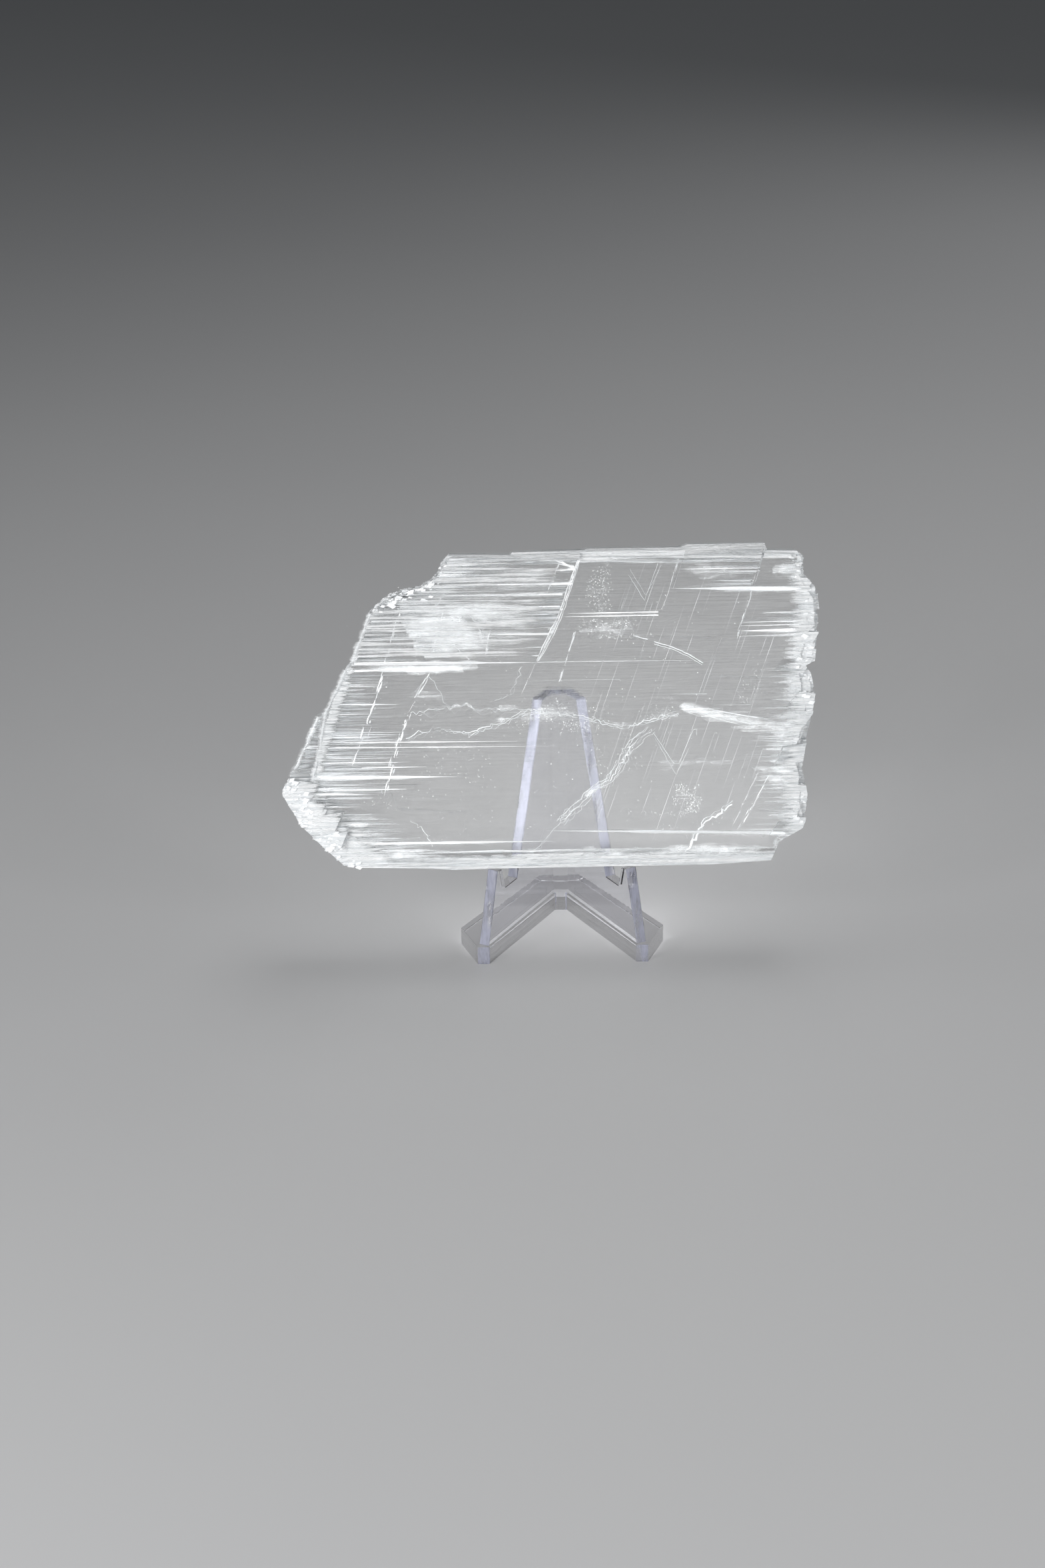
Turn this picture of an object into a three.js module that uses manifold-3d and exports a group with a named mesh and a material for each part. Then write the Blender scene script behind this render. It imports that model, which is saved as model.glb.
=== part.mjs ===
// A tabular selenite crystal that leans on a small clear plastic easel stand.
// Millimetres, +X to the viewer's right, +Y away from the viewer, +Z up, origin under the middle of the whole.
import * as THREE from "three";
import { mergeVertices } from "three/addons/utils/BufferGeometryUtils.js";
import Module from "manifold-3d";

// Stand: a V of two fins on a V-shaped foot plate, seen from above with y = 0 at the front of the feet.
const standHeight = 57;
const footPlate = 4.5;
const toeInner = 17.2; // half-widths across the front of the two feet
const toeOuter = 20;
const heelHalf = 24; // the feet are widest at their outer corners
const heelDepth = 10.6;
const apexHalf = 1.3; // flat at the bottom of the V
const apexDepth = 28.5;
const plateBackHalf = 6.3;
const plateBackDepth = 40;
const finThickness = 2.6;
const finInset = 0.4; // ledge between the foot plate's inner side and the fin
const spineThickness = 3.2;

// Fin profile: distances along the leg from the front of the foot, heights from the table.
const lipFront = 5.2;
const lipLength = 2.3;
const lipHeight = 21.9;
const slotFront = 8.8;
const slotFloor = 16.2;
const backrestFoot = 14.4;
const lean = THREE.MathUtils.degToRad(16); // of the backrest, and so of the crystal

// Crystal: u runs along the fibres, v up the face from the bottom edge, w from the back face to the front.
const restGap = 0.3;
const backLayerFront = 4.2;
const coreFront = 9.6; // front of the strip along the bottom edge
const mainFront = 10.2; // front of the large clear face
const rightStepFront = 10.7;
const ledgeFront = 11.1;
const topRightFront = 11.3;
const upperLeftFront = 11.8;
const layerOverlap = 0.7; // how far each layer is sunk into the one behind it
const topEdgeHeight = 75;
const bevels = {
  bottomFront: { along: 4.2, across: 1.7 },
  bottomBack: { along: 3, across: 2.4 },
  topFront: { along: 2.6, across: 3.6 },
  topBack: { along: 2.4, across: 2.8 },
};
const breakSpacing = 1.7; // between the teeth of a broken edge
const breakReach = 0.45;

const crystalMaterial = new THREE.MeshStandardMaterial({
  name: "clear_selenite",
  color: 0xe9eeee,
  roughness: 0.12,
  metalness: 0,
  transparent: true,
  opacity: 0.45,
});
const standMaterial = new THREE.MeshStandardMaterial({
  name: "clear_plastic",
  color: 0xdfe3f0,
  roughness: 0.06,
  metalness: 0,
  transparent: true,
  opacity: 0.35,
});

const wasm = await Module();
wasm.setup();

// A closed geometry as a solid that can be joined and cut.
function solid(geometry) {
  const bare = new THREE.BufferGeometry();
  bare.setAttribute("position", geometry.getAttribute("position"));
  bare.setIndex(geometry.index);
  const merged = mergeVertices(bare, 1e-4);
  const mesh = new wasm.Mesh({
    numProp: 3,
    vertProperties: merged.attributes.position.array,
    triVerts: new Uint32Array(merged.index.array),
  });
  return new wasm.Manifold(mesh);
}

function joined(solids) {
  return solids.reduce((whole, next) => whole.add(next));
}

function meshOf(made, name, material) {
  const { vertProperties, triVerts } = made.getMesh();
  const geometry = new THREE.BufferGeometry();
  geometry.setAttribute("position", new THREE.BufferAttribute(vertProperties, 3));
  geometry.setIndex(new THREE.BufferAttribute(triVerts, 1));
  const flat = geometry.toNonIndexed();
  flat.computeVertexNormals();
  const mesh = new THREE.Mesh(flat, material);
  mesh.name = name;
  return mesh;
}

// An outline raised from one level to another.
function plate(points, low, high) {
  const shape = new THREE.Shape(points.map(([x, y]) => new THREE.Vector2(x, y)));
  const raised = new THREE.ExtrudeGeometry(shape, { depth: high - low, bevelEnabled: false });
  return raised.translate(0, 0, low);
}

// Repeatable scatter, 0 to 1.
let seed = 20117;
function scatter() {
  seed = (seed * 16807) % 2147483647;
  return seed / 2147483647;
}

function scatterAround(reach) {
  return (2 * scatter() - 1) * reach;
}

// The V of the legs, from the front of a foot to the apex.
const legAngle = Math.atan((toeInner - apexHalf) / apexDepth);
const legLength = apexDepth / Math.cos(legAngle);
const backrestSlope = Math.tan(lean) / Math.cos(legAngle);
const backrestTop = backrestFoot + (standHeight - slotFloor) * backrestSlope;

function footPlateSolid() {
  const half = [
    [apexHalf, apexDepth],
    [toeInner, 0],
    [toeOuter, 0],
    [heelHalf, heelDepth],
    [plateBackHalf, plateBackDepth],
  ];
  const mirrored = half.map(([x, y]) => [-x, y]).reverse();
  return solid(plate([...half, ...mirrored], 0, footPlate));
}

// One fin, standing on its leg, side -1 for the left and 1 for the right.
function finSolid(side) {
  const rootHeight = footPlate / 2;
  const lipDrop = lipLength * Math.tan(lean) * Math.cos(legAngle);
  const profile = [
    [finInset, rootHeight],
    [finInset, footPlate],
    [lipFront, lipHeight],
    [lipFront + lipLength, lipHeight - lipDrop],
    [slotFront, slotFloor],
    [backrestFoot, slotFloor],
    [backrestTop, standHeight],
    [legLength, standHeight],
    [legLength, rootHeight],
  ];
  const inset = finInset * side;
  const low = side > 0 ? inset : inset - finThickness;
  const fin = plate(profile, low, low + finThickness);
  fin.rotateX(Math.PI / 2);
  fin.rotateZ(Math.PI / 2 + side * legAngle);
  return solid(fin.translate(side * toeInner, 0, 0));
}

// The post where the two fins meet, flat in front and behind, full height.
function spineSolid() {
  const finOutside = (finInset + finThickness) / Math.cos(legAngle);
  const outsideHalf = (y) => toeInner + finOutside - y * Math.tan(legAngle);
  const back = apexDepth + spineThickness;
  const half = [
    [outsideHalf(apexDepth), apexDepth],
    [outsideHalf(back), back],
  ];
  const mirrored = half.map(([x, y]) => [-x, y]).reverse();
  return solid(plate([...half, ...mirrored], footPlate / 2, standHeight));
}

function standMesh() {
  const made = joined([footPlateSolid(), finSolid(-1), finSolid(1), spineSolid()]);
  return meshOf(made, "display_stand", standMaterial);
}

// The crystal's edges, clockwise from the left end of the top edge, as [u, v].
const topEdge = [
  [-25, 73.5],
  [-11, 73.2],
  [-10.4, 73.8],
  [6, 74],
  [6.8, 74.4],
  [28, 74.3],
  [30, topEdgeHeight],
  [47.7, topEdgeHeight],
  [48.1, 73.4],
  [55, 73.2],
];
const upperRightEnd = [
  [56.5, 72],
  [56.8, 67.5],
  [59.5, 64.4],
  [60.1, 60],
  [59.9, 55],
  [59, 47.8],
  [56.8, 46.8],
];
const lowerRightEnd = [
  [58.1, 45],
  [59.1, 40.5],
  [58.1, 33.3],
  [56.7, 27.8],
  [56, 23],
  [57.2, 17],
  [56.7, 10.7],
  [56, 9],
  [51.5, 6.4],
];
const bottomRightCorner = [
  [50.5, 5.5],
  [48.8, 1.2],
];
const bottomEdge = [
  [35.5, 0.4],
  [-16, 0.2],
  [-25, 0],
  [-32, 0.5],
  [-47.3, 0.9],
];
const lowerLeftEnd = [
  [-50.8, 1.6],
  [-55.3, 6.2],
  [-60.6, 11.8],
  [-62.9, 15.8],
  [-64.4, 18.6],
  [-64.4, 19.9],
  [-63.2, 21.7],
];
const backLeftEnd = [
  [-63.2, 21.7],
  [-56.6, 36.1],
  [-54.9, 37.3],
];
const frontLeftEnd = [
  [-58.8, 19],
  [-56, 29.5],
  [-54.6, 37.5],
];
const upperLeftEnd = [
  [-49.4, 47.6],
  [-48.2, 49],
  [-43.7, 60.5],
  [-42, 61.9],
];
const leftShoulder = [
  [-39.2, 64.1],
  [-36.6, 65],
  [-32.1, 65.8],
  [-29.4, 67.5],
  [-27.7, 69.4],
  [-26.8, 71.6],
];

// A cleavage break across the fibres: a fine toothed edge through the given points.
function broken(points) {
  const teeth = [points[0]];
  points.slice(1).forEach(([u, v], i) => {
    const [fromU, fromV] = points[i];
    const count = Math.max(1, Math.round(Math.hypot(u - fromU, v - fromV) / breakSpacing));
    for (let k = 1; k < count; k++) {
      const share = (k + scatterAround(0.3)) / count;
      const toothU = fromU + (u - fromU) * share + scatterAround(breakReach);
      teeth.push([toothU, fromV + (v - fromV) * share]);
    }
    teeth.push([u, v]);
  });
  return teeth;
}

const backOutline = () => [
  ...topEdge,
  ...broken([...upperRightEnd, ...lowerRightEnd]),
  ...bottomRightCorner,
  ...bottomEdge,
  ...broken(lowerLeftEnd),
  ...broken(backLeftEnd).slice(1),
  ...broken([...upperLeftEnd, ...leftShoulder]),
];

const coreOutline = () => [
  ...topEdge,
  ...broken([...upperRightEnd, [56.2, 43]]).map(([u, v]) => [u - 0.8, v]),
  ...broken(lowerRightEnd).map(([u, v]) => [u - 1.1, v]),
  ...bottomRightCorner,
  ...bottomEdge,
  ...lowerLeftEnd.slice(0, 2),
  ...broken(frontLeftEnd),
  ...broken([...upperLeftEnd, ...leftShoulder]).map(([u, v]) => [u + 0.5, v]),
];

// The large clear face, above a ledge that runs along the bottom strip.
const mainFace = () => [
  [-24, 72.6],
  [54, 72.4],
  ...broken([
    [55.5, 66],
    [57.6, 58],
    [55.2, 45],
    [56.8, 38],
    [54.6, 26],
    [55.4, 14],
    [54.4, 8.2],
  ]),
  [20, 9],
  [-4, 9.6],
  [-5, 6.9],
  [-44.6, 6.1],
  ...broken([
    [-56, 14],
    [-57.4, 21],
    [-53.6, 37.5],
    [-47.6, 49],
    [-42.4, 60.6],
  ]),
  [-36, 64],
  [-28, 67.6],
];

// The thick milky layer at the upper left, with an oblique, slightly curved step at its right.
const upperLeftFace = () => [
  [-24.6, 73],
  [5.2, 73.6],
  ...broken([
    [4.8, 71.5],
    [2.8, 66.2],
    [0, 58.4],
    [-5, 49],
  ]),
  [-7.2, 48.4],
  [-20, 48.9],
  [-47.4, 48.7],
  ...broken([
    [-46.8, 50.4],
    [-42.8, 60.6],
  ]),
  [-38.6, 63.6],
  [-31.6, 65.2],
  [-27.2, 69.4],
];

const topRightFace = () => [
  [29.8, topEdgeHeight],
  [47.6, topEdgeHeight],
  [44.4, 65.2],
  [43.6, 64.6],
  [26.4, 65],
];

const rightStepFace = () => [
  [47.4, 72.8],
  [53.4, 72.6],
  ...broken([
    [55.6, 67],
    [58.6, 62],
    [58.8, 56],
    [57.2, 54.4],
  ]),
  [41.3, 53.9],
];

const rightLedgeFace = () => [
  [44.2, 65.6],
  [57.6, 65.2],
  [58.2, 64.2],
  [43.9, 64.4],
];

// Shallow cleavage steps that go into the back face, clear of where the fins touch it.
const backStepDepth = 1;
const backSteps = [
  [
    [24, 80],
    [14, 54],
    [38, 53],
    [34, 44],
    [70, 43],
    [70, 80],
  ],
  [
    [-70, -5],
    [-70, 34],
    [-46, 34],
    [-38, 14],
    [-22, 13],
    [-25, -5],
  ],
];

// Long bundles of fibres that stand proud of the face: [blunt end u, tip u, v, height, rise, face level].
const bundles = [
  [-55, -36, 28.6, 1.1, 0.3, mainFront],
  [-54, -8, 29.9, 0.7, 0.25, mainFront],
  [-55.6, -40, 24.4, 1.4, 0.35, mainFront],
  [-56, -33, 20.6, 0.9, 0.3, mainFront],
  [-50, -38, 38.2, 0.8, 0.25, mainFront],
  [-43, -10, 56.4, 1.5, 0.3, upperLeftFront],
  [-38, -4, 62.6, 1.2, 0.3, upperLeftFront],
  [-27, 1, 66.8, 1, 0.25, upperLeftFront],
  [-20, -6, 70.2, 0.8, 0.25, upperLeftFront],
  [24, 2, 60.2, 0.6, 0.25, mainFront],
  [54.4, 38, 41.5, 1.2, 0.3, mainFront],
  [54, 44, 34.5, 1.6, 0.35, mainFront],
  [53.6, 45, 28.4, 1, 0.3, mainFront],
  [53.8, 46, 13.2, 0.9, 0.25, mainFront],
  [57, 42, 57.6, 0.8, 0.25, rightStepFront],
];

function bundleSolid([blunt, tip, v, height, rise, level]) {
  const taperStart = blunt + (tip - blunt) * 0.4;
  const points = [
    [blunt, v - height / 2],
    [taperStart, v - height / 3],
    [tip, v],
    [taperStart, v + height / 3],
    [blunt, v + height / 2],
  ];
  return solid(plate(points, level - layerOverlap, level + rise));
}

// Cleavage fragments that crowd the rough ends, each a small rhomb that lies almost in the crystal's planes.
const roughEnds = [
  { line: lowerLeftEnd, count: 40, inset: [1, 9], size: [3.4, 6.8], levels: [4.5, 10] },
  { line: upperRightEnd, count: 14, inset: [1, 4], size: [3, 5], levels: [5, 10] },
  { line: lowerRightEnd, count: 26, inset: [1, 4.5], size: [3, 5.4], levels: [5, 9.8] },
  { line: leftShoulder, count: 14, inset: [1, 4], size: [2.6, 4.4], levels: [5, 11] },
];
const fragmentTilt = 0.17; // radians either way
const fragmentShape = { along: 1.5, slant: 0.5, height: 0.8, depth: 0.5 }; // shares of its size

function between([low, high]) {
  return low + (high - low) * scatter();
}

function pointAlong(line, share) {
  const place = share * (line.length - 1);
  const i = Math.min(Math.floor(place), line.length - 2);
  const rest = place - i;
  return line[i].map((from, axis) => from + (line[i + 1][axis] - from) * rest);
}

function fragmentSolid({ line, count, inset, size, levels }, index) {
  const [u, v] = pointAlong(line, (index + scatter()) / count);
  const width = between(size);
  const slant = width * fragmentShape.slant;
  const halfLength = (width * fragmentShape.along) / 2;
  const halfHeight = (width * fragmentShape.height) / 2;
  const rhomb = [
    [-halfLength - slant / 2, -halfHeight],
    [halfLength - slant / 2, -halfHeight],
    [halfLength + slant / 2, halfHeight],
    [-halfLength + slant / 2, halfHeight],
  ];
  const halfDepth = (width * fragmentShape.depth) / 2;
  const fragment = plate(rhomb, -halfDepth, halfDepth);
  fragment.rotateX(scatterAround(fragmentTilt));
  fragment.rotateY(scatterAround(fragmentTilt));
  fragment.rotateZ(scatterAround(fragmentTilt));
  return solid(fragment.translate(u - Math.sign(u) * between(inset), v, between(levels)));
}

function fragmentsOf(end) {
  return Array.from({ length: end.count }, (_, index) => fragmentSolid(end, index));
}

// All the fragments, broken off where the crystal ends.
function roughSolid() {
  const ends = [...upperRightEnd, ...lowerRightEnd, ...bottomRightCorner, ...bottomEdge, ...lowerLeftEnd];
  const outline = [...topEdge, ...ends, ...backLeftEnd.slice(1), ...upperLeftEnd, ...leftShoulder];
  const envelope = solid(plate(outline, backStepDepth, upperLeftFront));
  return joined(roughEnds.flatMap(fragmentsOf)).intersect(envelope);
}

// The wedge that is missing along a long edge, where the crystal has a prism face instead of a corner.
function bevelCutter(edgeV, upward, faceW, forward, { along, across }) {
  const length = 200;
  const past = 3;
  const corner = (alongV, acrossW) => [-(faceW + forward * acrossW), edgeV + upward * alongV];
  const steps = past / Math.hypot(along, across);
  const points = [
    corner(-along * (1 + steps), across * steps),
    corner(along * steps, -across * (1 + steps)),
    corner(along + past, across + past),
  ];
  const wedge = plate(points, -length / 2, length / 2);
  return solid(wedge.rotateY(Math.PI / 2));
}

function crystalMesh() {
  const layers = [
    plate(backOutline(), 0, backLayerFront),
    plate(coreOutline(), backLayerFront - layerOverlap, coreFront),
    plate(mainFace(), coreFront - layerOverlap, mainFront),
    plate(upperLeftFace(), mainFront - layerOverlap, upperLeftFront),
    plate(rightStepFace(), mainFront - layerOverlap, rightStepFront),
    plate(topRightFace(), mainFront - layerOverlap, topRightFront),
    plate(rightLedgeFace(), mainFront - layerOverlap, ledgeFront),
  ];
  const cutters = [
    ...backSteps.map((points) => solid(plate(points, -backStepDepth, backStepDepth))),
    bevelCutter(0, -1, coreFront, 1, bevels.bottomFront),
    bevelCutter(0, -1, 0, -1, bevels.bottomBack),
    bevelCutter(topEdgeHeight, 1, topRightFront, 1, bevels.topFront),
    bevelCutter(topEdgeHeight, 1, 0, -1, bevels.topBack),
  ];
  const slab = cutters.reduce((whole, cutter) => whole.subtract(cutter), joined(layers.map(solid)));
  const made = joined([slab, roughSolid(), ...bundles.map(bundleSolid)]);
  return meshOf(made, "selenite_crystal", crystalMaterial);
}

// The crystal stands on the lips and leans on the fins, a hair's breadth clear of both.
function leaningCrystal() {
  const up = new THREE.Vector3(0, Math.sin(lean), Math.cos(lean));
  const forward = new THREE.Vector3(0, -Math.cos(lean), Math.sin(lean));
  const lip = new THREE.Vector3(0, lipFront * Math.cos(legAngle), lipHeight);
  const backrest = new THREE.Vector3(0, backrestFoot * Math.cos(legAngle), slotFloor);
  const group = new THREE.Group();
  group.position.addScaledVector(up, lip.dot(up) + restGap);
  group.position.addScaledVector(forward, backrest.dot(forward) + restGap);
  group.rotation.x = Math.PI / 2 - lean;
  group.add(crystalMesh());
  return group;
}

const part = new THREE.Group();
part.add(standMesh(), leaningCrystal());
part.updateMatrixWorld(true);
const box = new THREE.Box3().setFromObject(part, true);
const middle = box.getCenter(new THREE.Vector3());
part.children.forEach((piece) => piece.position.sub(new THREE.Vector3(middle.x, middle.y, box.min.z)));

export default part;
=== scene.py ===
import math

import bpy
import numpy as np
from mathutils import Matrix, Vector


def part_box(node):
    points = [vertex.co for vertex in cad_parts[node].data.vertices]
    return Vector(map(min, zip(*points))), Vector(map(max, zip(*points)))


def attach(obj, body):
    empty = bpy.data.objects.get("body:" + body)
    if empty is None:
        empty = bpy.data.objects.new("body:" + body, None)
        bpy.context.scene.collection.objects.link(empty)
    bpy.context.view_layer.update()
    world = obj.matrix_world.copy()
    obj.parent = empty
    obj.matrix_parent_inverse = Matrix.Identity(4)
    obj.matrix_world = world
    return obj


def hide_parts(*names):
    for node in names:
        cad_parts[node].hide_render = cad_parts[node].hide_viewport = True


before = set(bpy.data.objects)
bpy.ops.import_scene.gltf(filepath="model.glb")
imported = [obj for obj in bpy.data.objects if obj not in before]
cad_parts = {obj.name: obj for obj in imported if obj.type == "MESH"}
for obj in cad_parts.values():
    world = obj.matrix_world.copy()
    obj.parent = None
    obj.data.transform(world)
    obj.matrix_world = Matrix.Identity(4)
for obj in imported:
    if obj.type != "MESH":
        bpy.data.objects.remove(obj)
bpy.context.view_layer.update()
mm = 0.001
rng = np.random.default_rng(20117)
print("frame loaded:", sorted(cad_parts))

# The slab leans on the stand: u runs along its fibres, v up its face, w out of the face, all in millimetres
slab = {"lean": 16, "behindFeet": 13.27, "aboveTable": 19.71}
lean = math.radians(slab["lean"])
slabAxes = np.array([
    [1, 0, 0],
    [0, math.sin(lean), math.cos(lean)],
    [0, -math.cos(lean), math.sin(lean)],
])
standLow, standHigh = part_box("display_stand")
slabOrigin = np.array([
    (standLow.x + standHigh.x) / 2,
    standLow.y + slab["behindFeet"] * mm,
    standLow.z + slab["aboveTable"] * mm,
])


def slabToFrame(points):
    return slabOrigin + np.asarray(points, float) @ slabAxes * mm


def frameToSlab(points):
    return (np.asarray(points, float) - slabOrigin) @ slabAxes.T / mm


# A socket that takes part in sums, so that shader maths reads as plain expressions
class Value:
    def __init__(self, finish, socket):
        self.finish = finish
        self.socket = socket

    def output(self, name):
        return Value(self.finish, self.socket.node.outputs[name])

    def maths(self, operation, first, second):
        return self.finish.node("ShaderNodeMath", {"operation": operation}, {0: first, 1: second})

    def __add__(self, other):
        return self.maths("ADD", self, other)

    def __radd__(self, other):
        return self.maths("ADD", other, self)

    def __sub__(self, other):
        return self.maths("SUBTRACT", self, other)

    def __rsub__(self, other):
        return self.maths("SUBTRACT", other, self)

    def __mul__(self, other):
        return self.maths("MULTIPLY", self, other)

    def __rmul__(self, other):
        return self.maths("MULTIPLY", other, self)


class Finish:
    def __init__(self, name):
        self.material = bpy.data.materials.new(name)
        self.material.use_nodes = True
        self.tree = self.material.node_tree
        self.tree.nodes.clear()

    # Any node: its settings first, then what its sockets hold or are linked to
    def node(self, kind, settings=None, inputs=None, output=0):
        made = self.tree.nodes.new(kind)
        for name, value in (settings or {}).items():
            setattr(made, name, value)
        for name, value in (inputs or {}).items():
            socket = made.inputs[name]
            if isinstance(value, Value):
                self.tree.links.new(value.socket, socket)
            else:
                socket.default_value = value
        return Value(self, made.outputs[output])

    # Object coordinates turned into the slab's own u, v and w
    def slabPlace(self):
        place = self.node("ShaderNodeTexCoord", output="Object")
        turned = {
            "Vector": place,
            "Scale": (1 / mm, 1 / mm, 1 / mm),
            "Rotation": (lean - math.pi / 2, 0, 0),
            "Location": tuple(-(slabAxes @ slabOrigin) / mm),
        }
        return self.node("ShaderNodeMapping", {"vector_type": "POINT"}, turned)

    # Noise drawn out by the given lengths in millimetres along each direction
    def noise(self, place, lengths, detail=3.0, roughness=0.55, distortion=0.0):
        drawn = {"Vector": place, "Scale": tuple(1 / length for length in lengths)}
        grain = {
            "Vector": self.node("ShaderNodeMapping", {"vector_type": "POINT"}, drawn),
            "Scale": 1.0,
            "Detail": detail,
            "Roughness": roughness,
            "Distortion": distortion,
        }
        return self.node("ShaderNodeTexNoise", None, grain, "Fac")

    # 0 below low and 1 above high, smooth between, and the other way round where low is the larger
    def ramp(self, value, low, high):
        limits = {"Value": value, "From Min": low, "From Max": high}
        return self.node("ShaderNodeMapRange", {"interpolation_type": "SMOOTHSTEP"}, limits)

    def larger(self, first, second):
        return self.node("ShaderNodeMath", {"operation": "MAXIMUM"}, {0: first, 1: second})

    def smaller(self, first, second):
        return self.node("ShaderNodeMath", {"operation": "MINIMUM"}, {0: first, 1: second})

    def blend(self, share, first, second):
        colours = {"Factor": share, "A": (*first, 1), "B": (*second, 1)}
        made = self.tree.nodes.new("ShaderNodeMix")
        made.data_type = "RGBA"
        sockets = {"Factor": made.inputs[0], "A": made.inputs[6], "B": made.inputs[7]}
        self.tree.links.new(share.socket, sockets["Factor"])
        sockets["A"].default_value = colours["A"]
        sockets["B"].default_value = colours["B"]
        return Value(self, made.outputs[2])

    def bump(self, height, strength, distance):
        relief = {"Height": height, "Strength": strength, "Distance": distance}
        return self.node("ShaderNodeBump", None, relief)

    # Clear matter that lets the lamps reach what lies inside it
    def lampThrough(self, clear):
        path = self.node("ShaderNodeLightPath", output="Is Shadow Ray")
        open_ = self.node("ShaderNodeBsdfTransparent")
        return self.node("ShaderNodeMixShader", None, {0: path, 1: clear, 2: open_})

    def finish(self, surface, volume=None):
        output = {"Surface": surface}
        if volume is not None:
            output["Volume"] = volume
        made = self.tree.nodes.new("ShaderNodeOutputMaterial")
        for name, value in output.items():
            self.tree.links.new(value.socket, made.inputs[name])
        return self.material


# Clear selenite that turns white where its fibres part: at the ends, on the steps and along the long edges. Along the
# top and bottom edges that white is also painted reflection, standing for the light that the bevels there send back
# inside the slab
selenite = {
    "ior": 1.52,
    "absorb": (0.92, 0.96, 0.97, 1),
    "density": 12,
    "white": (0.95, 0.96, 0.97),
    "shade": (0.74, 0.77, 0.79),
}


def seleniteBody():
    made = Finish("clearSelenite")
    place = made.slabPlace()
    parts = made.node("ShaderNodeSeparateXYZ", None, {"Vector": place})
    u = parts.output("X")
    v = parts.output("Y")
    streak = made.ramp(made.noise(place, (18, 0.55, 2.5), 4.0, 0.6), 0.36, 0.64)
    fine = made.noise(place, (5, 0.25, 0.8), 3.0, 0.6)
    cloud = made.noise(place, (6, 3, 4), 4.0, 0.6, 0.4)
    riser = made.node("ShaderNodeAttribute", {"attribute_name": "riser"}, output="Fac")
    # How far inside each rough end a point lies
    fromLeft = u + 58.8 - (v - 19) * 0.33
    fromRight = 56 + (v - 25) * 0.05 - u
    pastMass = (u + 49.6) * -0.66 - (v - 9.7) * 0.75
    tip = made.ramp(u, -57.0, -59.0) * made.ramp(v, 24.0, 22.0) * 0.9
    mass = made.larger(made.ramp(pastMass + cloud * 6.0, 1.2, 3.4), tip)
    left = made.ramp(fromLeft, 3.5, 0.4) * made.ramp(fromLeft, -1.2, -0.2) * 0.75
    right = made.ramp(fromRight, 7.0, -0.5) * 0.95
    # Bands at the top and bottom edges: milky fibres, and painted reflection of the bevels' inner reflections
    topBandMilkAndReflection = made.ramp(v, 70.8, 72.4) * 0.75
    bottomBandMilkAndReflection = made.ramp(v + (cloud - 0.5) * 4, 4.6, 2.2) * (made.ramp(u, -52.0, -15.0) * 0.35 + 0.7)
    upperLeft = made.ramp(v, 48.6, 51) * made.ramp(u - (v - 49) * 0.43, -2.0, -14.0) * 0.45
    zones = made.larger(made.larger(left, right), made.larger(topBandMilkAndReflection, bottomBandMilkAndReflection))
    besideMass = made.ramp(pastMass, -5.0, 1.0) * 0.8
    zones = made.larger(zones, made.larger(upperLeft, besideMass))
    thick = made.ramp(zones * 1.5 + cloud * 0.5 - (1 - streak) * 0.75, 0.35, 1.1)
    steps = made.ramp(riser + fine * 0.5, 0.45, 1.0) * (made.ramp(cloud, 0.38, 0.62) * 0.55 + 0.3)
    white = made.larger(made.larger(thick * 0.9, mass), steps)
    relief = made.bump(streak + fine * 0.4, 0.08, 0.0002)
    clear = made.node("ShaderNodeBsdfPrincipled", None, {
        "Base Color": (1, 1, 1, 1),
        "Roughness": fine * 0.05,
        "IOR": selenite["ior"],
        "Transmission Weight": 1.0,
        "Normal": relief,
    })
    crust = made.bump(cloud * 2 + fine * 0.6, 0.7, 0.0012)
    silky = made.node("ShaderNodeBsdfPrincipled", None, {
        "Base Color": made.blend(streak, selenite["shade"], selenite["white"]),
        "Roughness": 0.3 + cloud * 0.35,
        "IOR": selenite["ior"],
        "Normal": crust,
    })
    body = made.node("ShaderNodeMixShader", None, {0: white, 1: made.lampThrough(clear), 2: silky})
    stain = {"Color": selenite["absorb"], "Density": selenite["density"]}
    return made.finish(body, made.node("ShaderNodeVolumeAbsorption", None, stain))


# Opaque white for slivers, grains and chips, each with a tone of its own
def silkWhite(name, low, high):
    made = Finish(name)
    place = made.slabPlace()
    streak = made.noise(place, (6, 0.3, 0.8), 3.0, 0.6)
    tone = made.node("ShaderNodeAttribute", {"attribute_name": "cover"}, output="Fac")
    silk = made.node("ShaderNodeBsdfPrincipled", None, {
        "Base Color": made.blend(made.smaller(tone * 0.8 + streak * 0.4, 1.0), low, high),
        "Roughness": 0.3 + streak * 0.3,
        "IOR": selenite["ior"],
        "Normal": made.bump(streak, 0.3, 0.0002),
    })
    return made.finish(silk)


def veilWhite():
    made = Finish("milkyVeil")
    place = made.slabPlace()
    streak = made.noise(place, (12, 0.45, 1.5), 4.0, 0.65)
    cloud = made.noise(place, (3.5, 2.2, 2.5), 4.0, 0.6, 0.6)
    cover = made.node("ShaderNodeAttribute", {"attribute_name": "cover"}, output="Fac")
    spread = made.ramp(cover + (streak - 0.5) * 0.9 + (cloud - 0.5) * 0.8, 0.1, 1.05)
    veil = made.node("ShaderNodeBsdfPrincipled", None, {
        "Base Color": made.blend(streak, selenite["shade"], selenite["white"]),
        "Roughness": 0.4 + streak * 0.3,
        "IOR": selenite["ior"],
        "Alpha": made.smaller(spread, 0.9),
    })
    return made.finish(veil)


# Moulded clear plastic, faintly lilac, with a frosted lilac white on the front edges of the fins and feet that is
# painted reflection of the front lamps
plastic = {"ior": 1.49, "tint": (0.97, 0.97, 1.0, 1), "paintedReflection": (0.36, 0.37, 0.46),
           "paintedReflectionDark": (0.22, 0.23, 0.3)}


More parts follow.
